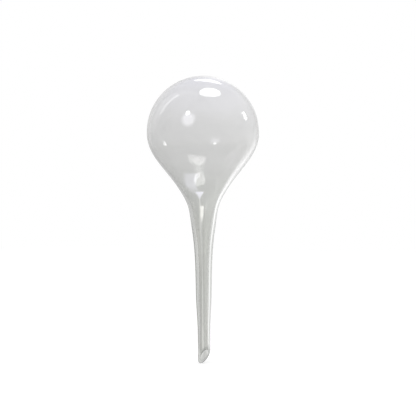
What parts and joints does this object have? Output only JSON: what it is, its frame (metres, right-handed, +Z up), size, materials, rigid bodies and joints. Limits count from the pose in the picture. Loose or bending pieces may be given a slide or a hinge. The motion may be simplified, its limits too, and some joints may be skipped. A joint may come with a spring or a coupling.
{
  "type": "watering globe",
  "caption": "Clear blown-glass watering globe: a round hollow bulb runs through a funnel neck into a long tapered stem with a slanted open mouth that goes into potting soil",
  "frame": {"origin": "on the axis of the globe, level with the lowest point of the stem's tip", "axes": "+Z runs up the axis from the tip to the crown of the bulb, the slanted mouth faces +Y and the long side of the tip is at -Y"},
  "size_m": [0.0995, 0.0994, 0.254],
  "materials": {
    "clear_glass": "clear hand-blown glass, fire-polished, faint grey-green where it is thick"
  },
  "bodies": {
    "root": {"globe": "clear_glass", "stem": "clear_glass"}
  },
  "joints": []
}
